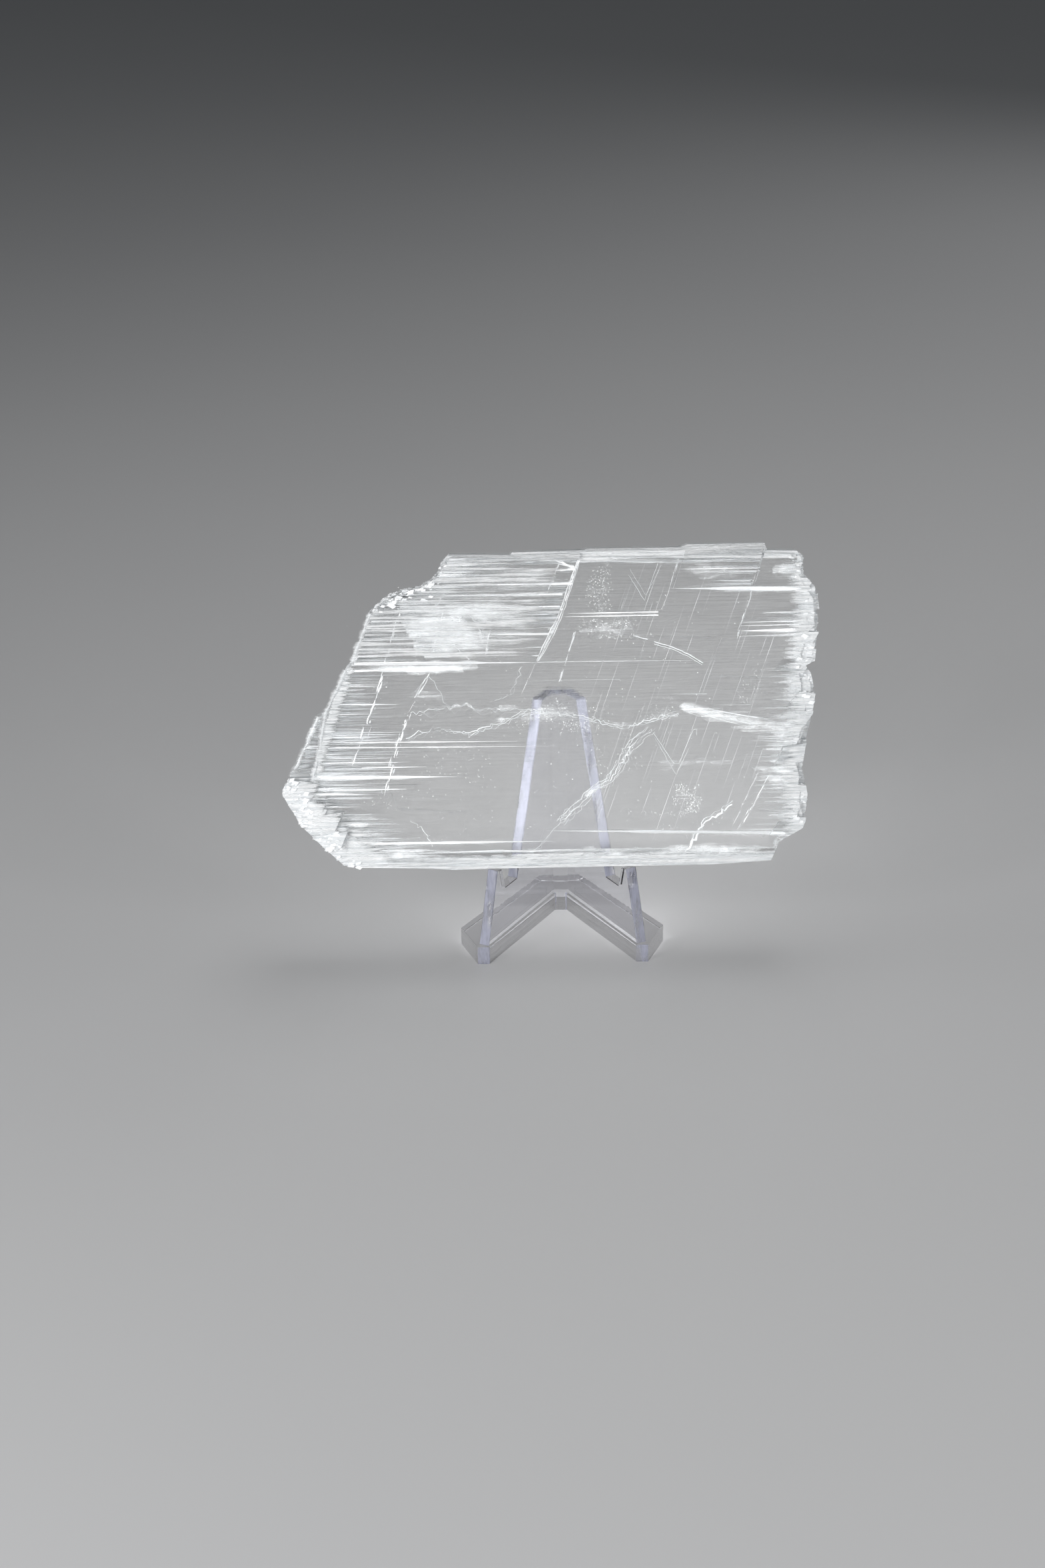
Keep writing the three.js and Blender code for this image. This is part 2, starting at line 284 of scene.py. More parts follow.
def clearPlastic():
    made = Finish("clearPlastic")
    place = made.slabPlace()
    flow = made.noise(place, (3, 9, 3), 3.0, 0.5)
    scuff = made.noise(place, (0.8, 4, 0.8), 4.0, 0.6)
    paintedReflectionShare = made.node("ShaderNodeAttribute", {"attribute_name": "paintedReflectionShare"}, output="Fac")
    clear = made.node("ShaderNodeBsdfPrincipled", None, {
        "Base Color": plastic["tint"],
        "Roughness": made.ramp(scuff, 0.45, 0.8) * 0.08 + 0.01,
        "IOR": plastic["ior"],
        "Transmission Weight": 1.0,
        "Normal": made.bump(flow, 0.08, 0.0003),
    })
    # Painted reflection: a diffuse lilac white that stands for the front lamps mirrored in the faces turned to the
    # front
    paintedReflection = made.node("ShaderNodeBsdfPrincipled", None, {
        "Base Color": made.blend(scuff, plastic["paintedReflectionDark"], plastic["paintedReflection"]),
        "Roughness": 0.35 + scuff * 0.3,
        "IOR": plastic["ior"],
    })
    share = paintedReflectionShare * made.ramp(flow + scuff * 0.3, 0.32, 0.82)
    body = made.node("ShaderNodeMixShader", None, {0: share, 1: made.lampThrough(clear), 2: paintedReflection})
    return made.finish(body)


# Many small closed shapes, gathered for one joined mesh
class Heap:
    def __init__(self):
        self.points = []
        self.faces = []
        self.covers = []

    # A bar through rings of four points each, closed at both ends
    def bar(self, rings, covers):
        base = len(self.points)
        self.points.extend(tuple(point) for ring in rings for point in ring)
        self.covers.extend(cover for ring in covers for cover in ring)
        last = len(rings) - 1
        for i in range(last):
            for k in range(4):
                a = base + 4 * i + k
                b = base + 4 * i + (k + 1) % 4
                self.faces.append((a, b, b + 4, a + 4))
        self.faces.append((base + 3, base + 2, base + 1, base))
        end = base + 4 * last
        self.faces.append((end, end + 1, end + 2, end + 3))

    # A sliver along a line of slab points: its height lies in the face, its depth goes into the slab
    def lance(self, line, heights, depth, cover=None):
        line = np.asarray(line, float)
        heights = np.asarray(heights, float)
        along = np.gradient(line, axis=0)
        across = np.stack([-along[:, 1], along[:, 0], np.zeros(len(line))], 1)
        across /= np.linalg.norm(across, axis=1)[:, None]
        inward = np.array([0, 0, 1.0])
        rings = []
        for point, side, height in zip(line, across, heights):
            deep = inward * depth / 2 * height / heights.max()
            rings.append([point + side * height / 2, point + deep, point - side * height / 2, point - deep])
        ridge = np.full(len(line), rng.uniform(0.3, 1.0)) if cover is None else np.asarray(cover, float)
        rim = 1.0 if cover is None else 0.0
        self.bar(rings, [[rim * c, c, rim * c, c] for c in ridge])

    # A small octahedral grain, flattened and turned at random
    def grain(self, centre, size):
        turn = np.linalg.qr(rng.normal(size=(3, 3)))[0]
        if np.linalg.det(turn) < 0:
            turn[0] *= -1
        reach = turn * (size * rng.uniform(0.35, 1.0, 3) / 2)[:, None]
        base = len(self.points)
        for sign in (1, -1):
            self.points.extend(tuple(centre + sign * axis) for axis in reach)
        self.covers.extend([rng.uniform(0.3, 1.0)] * 6)
        corners = [(0, 1, 2), (1, 3, 2), (3, 4, 2), (4, 0, 2), (1, 0, 5), (3, 1, 5), (4, 3, 5), (0, 4, 5)]
        self.faces.extend(tuple(base + c for c in corner) for corner in corners)

    # A cleavage chip: a slanting block that lies nearly in the crystal's planes
    def chip(self, centre, size):
        halfLong = size * rng.uniform(0.6, 1.0)
        halfHigh = size * rng.uniform(0.3, 0.55)
        halfDeep = size * rng.uniform(0.2, 0.45)
        slant = halfHigh * 0.45
        tilt = rng.normal(0, 0.25, 3)
        rings = []
        for end in (-1, 1):
            ring = []
            for high, deep in ((1, -1), (1, 1), (-1, 1), (-1, -1)):
                corner = np.array([end * halfLong + slant * high, high * halfHigh, deep * halfDeep])
                ring.append(centre + corner + np.cross(tilt, corner))
            rings.append(ring)
        self.bar(rings, [[rng.uniform(0.2, 1.0)] * 4] * 2)

    def made(self, name, material):
        mesh = bpy.data.meshes.new(name)
        mesh.from_pydata(slabToFrame(self.points).tolist(), [], self.faces)
        cover = mesh.attributes.new("cover", "FLOAT", "POINT")
        cover.data.foreach_set("value", np.array(self.covers, np.float32))
        mesh.materials.append(material)
        piece = bpy.data.objects.new(name, mesh)
        bpy.context.scene.collection.objects.link(piece)
        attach(piece, "root")
        print(name, len(self.faces), "faces")
        return piece


# A merged copy of a CAD solid
def copyOfNode(node, name, material):
    bpy.ops.object.select_all(action="DESELECT")
    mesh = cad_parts[node].data.copy()
    mesh.name = name
    piece = bpy.data.objects.new(name, mesh)
    bpy.context.scene.collection.objects.link(piece)
    piece.select_set(True)
    bpy.context.view_layer.objects.active = piece
    bpy.ops.object.mode_set(mode="EDIT")
    bpy.ops.mesh.select_all(action="SELECT")
    bpy.ops.mesh.remove_doubles(threshold=0.00001)
    bpy.ops.mesh.dissolve_limited(angle_limit=math.radians(0.5))
    bpy.ops.object.mode_set(mode="OBJECT")
    mesh.materials.clear()
    mesh.materials.append(material)
    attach(piece, "root")
    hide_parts(node)
    return piece


# A share for each face, which its finish reads
def faceShares(piece, attribute, shareOf):
    share = piece.data.attributes.new(attribute, "FLOAT", "FACE")
    share.data.foreach_set("value", [shareOf(face.center, face.normal) for face in piece.data.polygons])


slabForward = Vector(slabAxes[2])
crystal = copyOfNode("selenite_crystal", "crystalBody", seleniteBody())
faceShares(crystal, "riser", lambda centre, normal: 1 - abs(normal.dot(slabForward)))
print("crystal body", len(crystal.data.polygons), "faces")

mould = {"roundEdge": 0.00018, "spineHalf": 0.004, "plateTop": 0.006, "finTop": 0.05, "topPaintedReflection": 0.85}


# Painted reflection where the moulding faces the front, and a little on top of the fins, but not on the spine: these
# faces get a white that stands for the front and top lamps they would mirror
def paintedReflectionOfFace(centre, normal):
    onSpine = abs(centre.x - slabOrigin[0]) < mould["spineHalf"] and centre.z > mould["plateTop"]
    if normal.z > 0.5 and centre.z > mould["finTop"]:
        return mould["topPaintedReflection"]
    return 1.0 if normal.y < -0.65 and not onSpine else 0.0


stand = copyOfNode("display_stand", "standBody", clearPlastic())
rounding = stand.modifiers.new("roundEdges", "BEVEL")
rounding.width = mould["roundEdge"]
rounding.segments = 2
rounding.limit_method = "ANGLE"
rounding.angle_limit = math.radians(25)
bpy.ops.object.modifier_apply(modifier=rounding.name)
faceShares(stand, "paintedReflectionShare", paintedReflectionOfFace)
print("stand", len(stand.data.polygons), "faces")

# The broken ends, as u for a height v
ends = {
    "frontLeft": ([8, 19, 29.5, 37.5, 47.6], [-56.2, -58.2, -55.6, -54.2, -49]),
    "backLeft": ([20, 21.7, 36.1, 37.3], [-63.6, -62.6, -56.2, -54.8]),
    "mass": ([4.5, 6, 9.7, 15, 20], [-42.5, -44.5, -49.6, -54, -58]),
    "upperLeft": ([48.8, 60.5, 61.9], [-47.6, -43.2, -41.6]),
    "shoulder": ([61.9, 64.1, 65.8, 67.5, 69.4, 73], [-41.6, -38.8, -31.8, -29, -27.4, -25]),
    "core": ([49, 55, 62], [-31, -35, -37]),
    "step": ([49, 58.4, 66.2, 71.5, 73], [-5.2, -0.2, 2.6, 4.6, 5]),
    "right": ([7.5, 10.7, 17, 23, 27.8, 33.3, 40.5, 45, 47, 54, 60, 64.4, 67.5, 72],
              [53, 55.4, 56, 54.8, 55.4, 56.8, 57.8, 56.8, 56, 58, 58.8, 58.2, 55.6, 55.2]),
    "slant": ([53.8, 65, 75], [41.3, 44.6, 47.7]),
}


def endAt(name, v):
    heights, places = ends[name]
    return float(np.interp(v, heights, places))


# Rows of fibres: where their blunt ends sit, the heights they fill, how far they reach inwards and how thick they are
fibreRows = [
    {"end": "frontLeft", "v": (15, 46), "reach": (3, 16), "high": (0.1, 0.5), "w": (6, 9.9), "count": 260},
    {"end": "frontLeft", "v": (18, 33), "reach": (9, 26), "high": (0.14, 0.6), "w": (7.5, 9.9), "count": 80},
    {"end": "backLeft", "v": (21.6, 37), "reach": (1.5, 7), "high": (0.14, 0.55), "w": (2.4, 4.1), "count": 130},
    {"end": "mass", "v": (5, 13.5), "reach": (4, 16), "high": (0.1, 0.5), "w": (6, 9.4), "count": 80},
    {"end": "upperLeft", "v": (49.2, 61.8), "reach": (3, 17), "high": (0.06, 0.4), "w": (6, 11.4), "count": 90},
    {"end": "shoulder", "v": (62, 73), "reach": (6, 21), "high": (0.08, 0.6), "w": (6, 11.4), "count": 150},
    {"end": "step", "v": (57, 66.6), "reach": (-22, -3), "high": (0.06, 0.42), "w": (7, 11.4), "count": 60},
    {"end": "step", "v": (49.4, 72), "reach": (-8, -1), "high": (0.05, 0.3), "w": (7, 11.4), "count": 30},
    {"end": "slant", "v": (65.4, 74), "reach": (-18, -3), "high": (0.05, 0.36), "w": (7, 10.9), "count": 34},
    {"end": "right", "v": (54, 72), "reach": (-7, -1.5), "high": (0.06, 0.36), "w": (3, 10.2), "count": 80},
    {"end": "right", "v": (54.4, 59), "reach": (-17, -8), "high": (0.06, 0.4), "w": (8, 10.3), "count": 12},
    {"end": "right", "v": (8, 47), "reach": (-13, -2), "high": (0.06, 0.45), "w": (3, 9.8), "count": 260},
]
# Soft milky streaks of the same kind, with how dense they are at the blunt end
milkyRows = [
    {"end": "right", "v": (9, 47), "reach": (-11, -4), "high": (0.8, 2.8), "w": (4, 9.4), "count": 64,
     "cover": (0.35, 0.85)},
    {"end": "right", "v": (22, 35), "reach": (-13, -6), "high": (1, 3), "w": (6, 9.6), "count": 26, "cover": (0.6, 1.0)},
    {"end": "right", "v": (53, 71), "reach": (-7, -2), "high": (0.8, 2.2), "w": (5, 10), "count": 26,
     "cover": (0.35, 0.8)},
    {"end": "frontLeft", "v": (16, 46), "reach": (3, 12), "high": (0.5, 1.8), "w": (5, 9.6), "count": 44,
     "cover": (0.3, 0.75)},
    {"end": "mass", "v": (4.5, 13), "reach": (5, 17), "high": (0.6, 2), "w": (6, 9.2), "count": 30, "cover": (0.5, 0.9)},
    {"end": "shoulder", "v": (62, 72.6), "reach": (9, 23), "high": (0.8, 2.4), "w": (7, 11.2), "count": 40,
     "cover": (0.5, 1.0)},
    {"end": "core", "v": (50, 61.8), "reach": (10, 30), "high": (0.8, 2.8), "w": (7, 11.2), "count": 46,
     "cover": (0.5, 0.95)},
    {"end": "upperLeft", "v": (49.2, 61.8), "reach": (2, 12), "high": (0.5, 1.6), "w": (7, 11.2), "count": 26,
     "cover": (0.3, 0.6)},
    {"end": "right", "v": (20, 40), "reach": (-20, -10), "high": (2, 6), "w": (5, 9), "count": 14, "cover": (0.3, 0.5)},
    {"end": "mass", "v": (1.5, 6.5), "reach": (8, 28), "high": (0.6, 2.2), "w": (5, 8.4), "count": 26,
     "cover": (0.4, 0.85)},
    {"end": "backLeft", "v": (22, 37), "reach": (1.5, 5), "high": (0.4, 1.3), "w": (1, 4), "count": 24,
     "cover": (0.3, 0.7)},
]


# Rows share how their slivers are spread: mostly short and thin, a few long and thick
def rowSlivers(row):
    for _ in range(row["count"]):
        v = rng.uniform(*row["v"])
        short, long = sorted(row["reach"], key=abs)
        reach = short + (long - short) * rng.beta(1.2, 2.2)
        blunt = endAt(row["end"], v) + math.copysign(rng.uniform(0, 1.0), reach)
        high = row["high"][0] + (row["high"][1] - row["high"][0]) * rng.beta(1.1, 2.4)
        w = rng.uniform(*row["w"])
        slope = rng.normal(0, 0.004)
        line = [(blunt + reach * share, v + reach * share * slope, w) for share in (0.0, 0.35, 1.0)]
        yield line, np.array((high, high * 0.8, 0.02))


def fibreRow(heap, row):
    for line, heights in rowSlivers(row):
        heap.lance(line, heights, rng.uniform(0.3, 1.6))


def milkyRow(veils, row):
    for line, heights in rowSlivers(row):
        dense = rng.uniform(*row["cover"])
        veils.lance(line, heights, rng.uniform(0.3, 1.2), (dense, dense * 0.85, 0))


# Lines that stand out one by one: start and end in the face, height, depth level. Those that follow ledges where the
# layers step, such as the lines near v 48.8, 64.8 and 8.5, are white slivers standing for the highlights along those
# edges: painted highlights
singleLines = [
    ((-47.2, 48.9), (-5, 48.6), 0.7, 11.6),
    ((-5, 48.5), (33, 48.4), 0.13, 9.8),
    ((-49, 47.1), (-38, 47.2), 0.5, 9.8),
    ((-55.4, 30.6), (-10, 30.2), 0.26, 9.8),
    ((-55.6, 29.3), (-1, 29.0), 0.2, 9.8),
    ((-56, 25.8), (-35, 25.8), 0.36, 9.7),
    ((-46, 24.6), (-31, 24.6), 0.28, 9.7),
    ((-57.4, 22.3), (-24, 22.2), 0.75, 9.6),
    ((-58, 19.6), (-36, 19.4), 0.6, 9.5),
    ((-53, 39.4), (-37, 39.2), 0.32, 9.7),
    ((-44.4, 6.8), (-1.5, 6.7), 0.62, 9.7),
    ((52, 7.8), (-3.4, 9.2), 0.7, 9.8),
    ((23, 59.7), (2.1, 59.6), 0.3, 9.9),
    ((23, 58.9), (0.6, 58.9), 0.26, 9.9),
    ((59, 64.4), (25.9, 65.1), 0.9, 10.6),
    ((46.4, 69.5), (27.4, 69.5), 0.3, 10.6),
    ((46.4, 68.8), (34, 68.9), 0.15, 10.6),
    ((58.8, 57.1), (41.8, 57), 0.24, 10.2),
    ((58.6, 56.3), (41.6, 56.2), 0.2, 10.2),
    ((58.8, 55.1), (41.5, 55), 0.7, 10.2),
    ((57.2, 53.9), (41.2, 53.8), 0.3, 10.2),
    ((55.6, 59.2), (47, 59.2), 0.2, 10.2),
    ((34, 40.5), (24, 40.6), 0.12, 9.2),
    ((44, 37.9), (36, 37.9), 0.1, 9.5),
    ((14, 44.2), (-6, 44.2), 0.08, 8.8),
    ((-2.3, 55.1), (-16, 55.2), 0.4, 11.4),
    ((-29.2, 54.6), (-18, 54.4), 0.35, 11.4),
    ((-43, 58.6), (-32, 58.5), 0.3, 11.4),
    ((-45, 54.6), (-30, 54.4), 0.25, 11.4),
    ((-46, 52.2), (-33, 52.2), 0.3, 11.4),
    ((-46.4, 50.6), (-36, 50.6), 0.3, 11.4),
    ((3.4, 66.6), (-22, 66.6), 0.5, 11.5),
    ((1, 64.2), (-30, 64.3), 0.5, 11.5),
    ((0.4, 61.4), (-18, 61.4), 0.3, 11.5),
]
# Lines across the fibres, along the crystal's other cleavage, broken into dashes
slantLines = [
    ((47.7, 74.1), (41.2, 53.8), 0.28, 10.4),
    ((28.4, 73.7), (24, 60.3), 0.2, 10.0),
    ((-37, 60.1), (-39.7, 49.3), 0.5, 11.4),
    ((-39.7, 49.3), (-45.6, 31.3), 0.66, 9.9),
    ((-45.6, 31.3), (-47.9, 26.2), 0.5, 9.9),
    ((-30, 46), (-34.9, 37.4), 0.4, 9.9),
    ((-34.9, 37.4), (-40.1, 21.4), 0.62, 9.9),
    ((-40.1, 21.4), (-41.1, 17.8), 0.62, 9.9),
    ((48.6, 21.6), (41.4, 9), 0.36, 9.8),
    ((46, 22.4), (40, 10), 0.14, 9.6),
    ((-5, 49), (-8.6, 41.5), 0.12, 9.6),
    ((4.3, 57), (0, 44), 0.32, 9.8),
    ((0.6, 72), (-2, 65.6), 0.25, 11.4),
    ((-15.9, 55.2), (-17.3, 49.2), 0.4, 11.4),
    ((-26.6, 60), (-29.4, 50), 0.3, 11.2),
    ((-31.4, 58), (-33.4, 49.6), 0.25, 11.2),
]
# The oblique step at the right of the thick upper layer: a soft band with a bright line at each side, the lines being
# white slivers that are painted highlights of the step's edges
step = {"line": [(4.8, 71.9), (4, 69.4), (2.8, 66.2), (1.5, 62.4), (0, 58.4), (-1.6, 55.2), (-3.4, 51.8), (-5, 48.9)],
        "wide": (0.5, 0.8, 0.9, 0.8, 1.1, 1.3, 1.1, 0.5), "cover": 0.5, "w": 11.35}
# Bright rims of the broken left end, as white slivers that are painted highlights on its edges: points in the face,
# height, level
rimHighlights = [
    ([(-62.8, 21.8), (-60.6, 26.6), (-58.2, 31.8), (-56.2, 36)], 0.4, 4.0),
    ([(-58, 19.4), (-56.6, 25), (-55.4, 30), (-54.2, 37.4), (-51.6, 42.4), (-49.2, 47.2)], 0.5, 9.7),
    ([(-47.6, 49.4), (-45.4, 54.8), (-43.2, 60.4)], 0.4, 11.5),
]
# Short marks that fan out beside the step at the top
fanMarks = {"from": (4, 69.8), "angles": (146, 158, 170, 182, 192), "reach": 5.2, "high": 0.34, "w": 11.4}


# The same line with small sharp wanderings between its points
def wander(line, step, reach):
    path = []
    for (u0, v0), (u1, v1) in zip(line, line[1:]):
        count = max(2, round(math.hypot(u1 - u0, v1 - v0) / step))
        for i in range(count):
            share = i / count
            drift = rng.normal(0, reach, 2) if i else (0, 0)
            path.append((u0 + (u1 - u0) * share + drift[0], v0 + (v1 - v0) * share + drift[1]))
    path.append(line[-1])
    return path


# A straight streak whose thickness wanders, with a faint glow round it
def straightLine(heap, veils, start, end, high, w):
    start = np.array(start, float)
    end = np.array(end, float)
    count = max(4, round(np.linalg.norm(end - start) / 3.5))
    shares = np.linspace(0, 1, count)
    taper = np.minimum(1, (1 - shares) * 2.2)
    heights = np.maximum(high * taper * rng.uniform(0.65, 1.15, count), 0.02)
    line = [(*(start + (end - start) * share), w) for share in shares]
    heap.lance(line, heights, max(0.25, high))
    veils.lance(line, heights * 3, 0.3, 0.4 * taper)


def dashedLine(heap, start, end, high, w):
    start = np.array(start, float)
    end = np.array(end, float)
    length = np.linalg.norm(end - start)
    way = (end - start) / length
    across = np.array([-way[1], way[0]])
    for _ in range(round(length * 1.1)):
        middle = start + way * rng.uniform(0, length) + across * rng.normal(0, 0.5 * high)
        half = way * rng.uniform(0.3, 1.8)
        level = w - rng.uniform(0, 0.8)
        line = [(*(middle - half), level), (*middle, level), (*(middle + half), level)]
        heap.lance(line, (0.01, high * rng.uniform(0.2, 0.7), 0.01), 0.2)
    for _ in range(round(length * 3)):
        spot = start + way * rng.uniform(0, length) + across * rng.normal(0, 0.9 * high)
        heap.grain(np.array([*spot, w - rng.uniform(0, 0.8)]), rng.uniform(0.08, 0.3))


def stepBand(heap, veils):
    line = np.array(step["line"])
    wide = np.array(step["wide"])
    veils.lance([(*point, step["w"]) for point in line], wide * 1.5, 0.3, np.full(len(line), step["cover"]))
    # Painted highlights: white slivers along the sides of the step
    for side in (-0.5, 0.1, 0.5):
        shifted = line + np.stack([wide * side, np.zeros(len(line))], 1)
        path = wander([tuple(point) for point in shifted], 1.2, 0.06)
        heap.lance([(*point, step["w"] + 0.1) for point in path], rng.uniform(0.04, 0.2, len(path)), 0.2)


# White slivers of the fibres, together with the painted highlights along the step, the rims and the ledges
def crystalFibresAndHighlights(veils):
    heap = Heap()
    for row in fibreRows:
        fibreRow(heap, row)
    for row in milkyRows:
        milkyRow(veils, row)
    for start, end, high, w in singleLines:
        straightLine(heap, veils, start, end, high, w)
    for start, end, high, w in slantLines:
        dashedLine(heap, start, end, high, w)
    stepBand(heap, veils)
    # Painted highlights: white slivers along the rims of the left end, each with a veil round it
    for line, high, w in rimHighlights:
        path = wander(line, 0.9, 0.1)
        heap.lance([(*point, w) for point in path], high * rng.uniform(0.3, 1.0, len(path)), 0.3)
        veils.lance([(*point, w) for point in path], np.full(len(path), 2.2), 0.3, np.full(len(path), 0.6))
    for angle in fanMarks["angles"]:
        start = np.array(fanMarks["from"]) + rng.normal(0, 0.3, 2)
        way = np.array([math.cos(math.radians(angle)), math.sin(math.radians(angle))])
        reach = fanMarks["reach"] * rng.uniform(0.6, 1.1)
        straightLine(heap, veils, start, start + way * reach, fanMarks["high"], fanMarks["w"])
    # Fibres along the two long edges, pointed at both ends
    for low, high, left, right, count, w in ((0.8, 4.6, -46, 48, 110, 8.4), (70.8, 73.2, -24, 47.4, 80, 8.4)):
        for _ in range(count):
            middle = rng.uniform(left, right)
            half = rng.uniform(2, 11)
            v = rng.uniform(low, high)
            level = w + rng.uniform(-2.5, 0.3)
            line = [(u, v, level) for u in (max(left, middle - half), middle, min(right, middle + half))]
            heap.lance(line, (0.02, rng.uniform(0.06, 0.36), 0.02), rng.uniform(0.3, 1.6))
    # Fine streaks along the blade
    places = np.array(blade["line"])
    for _ in range(blade["streaks"]):
        share = np.sort(rng.uniform(0.03, 1, 2)) * (len(places) - 1)
        u = np.interp(share, range(len(places)), places[:, 0])
        lift = rng.uniform(-0.3, 0.3)
        high = np.interp(share, range(len(places)), blade["heights"])
        v = np.interp(share, range(len(places)), places[:, 1]) + lift * high
        line = np.linspace((u[0], v[0], blade["w"] + 0.7), (u[1], v[1], blade["w"] + 0.7), 3)
        heap.lance(line, (0.02, rng.uniform(0.05, 0.14), 0.02), 0.2)
    # Faint lines of the slanting cleavage
    for _ in range(70):
        u = rng.uniform(8, 50)
        v = rng.uniform(14, 66)
        half = rng.uniform(2, 9)
        w = rng.uniform(3, 9.8)
        line = [(u - half * 0.36, v - half, w), (u, v, w), (u + half * 0.36, v + half, w)]
        heap.lance(line, (0.01, rng.uniform(0.03, 0.08), 0.01), 0.2)
    return heap.made("crystalFibresAndHighlights", silkWhite("silkyFibreAndHighlights", selenite["shade"], selenite["white"]))


# Breaks that wander through the slab: points in the face, height of the line, level, how wide the veil behind it is
fractures = [
    {"line": [(-35.7, 31.2), (-29, 33.4), (-20.6, 32.4), (-17, 33.6), (-7.3, 37.5), (4.3, 35.9), (14.1, 33.1),
              (21.2, 34.8), (27, 36.5)], "high": 0.22, "w": 8.5, "veil": 2.6, "strands": 3},
    {"line": [(-33.9, 37.4), (-27.7, 37.8), (-21.5, 39.1), (-19.7, 37.7), (-6.4, 37.5)], "high": 0.16, "w": 8.8,
     "veil": 1.2, "strands": 2},
    {"line": [(21.2, 32.5), (16.3, 28.5), (11.5, 20.5), (7, 17.8), (-0.2, 10.8)], "high": 0.22, "w": 8.5,
     "veil": 2.2, "strands": 7},
    {"line": [(-0.2, 10.8), (-3.4, 7.4), (-7.3, 3.3)], "high": 0.16, "w": 7.5, "veil": 0.6, "strands": 2},
    {"line": [(39.7, 14.6), (36.5, 12.3), (33.6, 10.8), (31.5, 7.5), (28.7, 3)], "high": 0.55, "w": 9, "veil": 2.6,
     "strands": 2},
    {"line": [(-8.7, 47.4), (-11.2, 40.9), (-15, 39.8)], "high": 0.18, "w": 9, "veil": 0.6, "strands": 2},
    {"line": [(-35, 11.9), (-32.5, 10.6), (-31, 8.4), (-30, 5.8)], "high": 0.18, "w": 9, "veil": 0.6, "strands": 1},
    {"line": [(-33, 42), (-30, 46), (-25.4, 37.9)], "high": 0.14, "w": 9, "veil": 0.4, "strands": 1},
    {"line": [(-20.6, 59.9), (-18.1, 57.6), (-17.5, 54.8)], "high": 0.3, "w": 11.3, "veil": 0.8, "strands": 2},
    {"line": [(-24, 53.4), (-22.6, 51), (-20.6, 49.4)], "high": 0.25, "w": 11.3, "veil": 0.6, "strands": 1},
    {"line": [(-37, 61.6), (-33, 60.6), (-29, 61.2), (-26, 64.6)], "high": 0.25, "w": 11.3, "veil": 0.8, "strands": 2},
    {"line": [(17.2, 54.2), (20.5, 53.4)], "high": 0.3, "w": 9.4, "veil": 0, "strands": 1},
    {"line": [(22, 52.8), (26, 51.6), (30, 49.8), (33.2, 47.7)], "high": 0.26, "w": 9.4, "veil": 0, "strands": 1},
    {"line": [(22, 52.3), (26, 51.1), (30, 49.2), (33, 47.3)], "high": 0.2, "w": 9.4, "veil": 0, "strands": 1},
    {"line": [(16.3, 68.2), (19.9, 62.3), (23, 70.8)], "high": 0.1, "w": 9.5, "veil": 0, "strands": 1},
    {"line": [(16.6, 69.6), (20.2, 63.4), (23.8, 70.4)], "high": 0.08, "w": 9.5, "veil": 0, "strands": 1},
    {"line": [(21.7, 31.6), (26.3, 24.4), (27.4, 24.4), (30.8, 32.2), (31.7, 32.4), (31.6, 31)], "high": 0.13, "w": 9.5,
     "veil": 0, "strands": 1},
    {"line": [(21.9, 30.6), (26.8, 21.8), (29.8, 28)], "high": 0.09, "w": 9.5, "veil": 0, "strands": 1},
]


# Strong in some stretches and nearly gone in others
def waxing(count):
    knots = max(2, count // 4)
    strength = np.interp(np.linspace(0, knots - 1, count), range(knots), rng.uniform(0, 1, knots))
    return 0.15 + 1.1 * strength ** 1.6


def crystalFractures(veils):
    heap = Heap()
    for crack in fractures:
        rough = 0.26 if crack["veil"] else 0.04
        for strand in range(crack["strands"]):
            path = np.array(wander(crack["line"], 0.8, rough))
            sideways = rng.normal(0, 0.4, 2) * min(strand, 1) * min(crack["veil"], 1.6)
            level = crack["w"] - strand * rng.uniform(0.2, 0.8)
            line = [(*(point + sideways), level) for point in path]
            strength = waxing(len(path)) if crack["veil"] else rng.uniform(0.5, 1.1, len(path))
            heap.lance(line, crack["high"] * strength * (1.0 if strand == 0 else 0.7), 0.4)
        if crack["veil"]:
            fade = np.sin(np.linspace(0.2, math.pi - 0.2, len(path)))
            strength = waxing(len(path))
            veils.lance([(*point, crack["w"] - 0.8) for point in path], crack["veil"] * (0.3 + strength), 0.6,
                        fade * strength * 0.5)
    return heap.made("crystalFractures", silkWhite("fractureWhite", (0.6, 0.63, 0.65), (0.9, 0.92, 0.93)))


# Milky patches inside the slab: middle, half length and half height, level, how dense
milkyPatches = [
    ((-24, 54.4), (9, 5), 10.4, 0.7),
    ((-19, 60.5), (12, 4), 10.2, 0.6),
    ((-31, 47.4), (14, 1.7), 9.4, 0.85),
    ((-3, 36.4), (9, 3), 7.5, 0.36),
    ((-28, 57.4), (9, 4.4), 10.6, 0.7),
    ((-39, 3.4), (9, 2.6), 8, 0.7),
    ((-31, 41), (5, 3), 8, 0.25),
    ((33, 3.6), (14, 2.6), 8, 0.6),
    ((5, 2.6), (22, 2.2), 8.4, 0.8),
    ((11, 55.4), (8, 2.8), 9, 0.34),
    ((9.5, 65), (2.6, 5.5), 9, 0.15),
    ((29.5, 15), (3.4, 4.4), 9, 0.15),
    ((31, 24.2), (10, 2.6), 6, 0.26),
    ((36, 69), (8, 3.6), 9.6, 0.3),
    ((52.4, 69), (3.4, 3), 9, 0.5),
]


def milkyPatch(heap, middle, half, w, dense):
    turns = np.linspace(-1, 1, 15)
    line = [(middle[0] + half[0] * turn, middle[1], w) for turn in turns]
    arch = np.sqrt(np.maximum(1 - turns ** 2, 0.0004))
    heap.lance(line, 2 * half[1] * arch, 0.7, dense * arch)


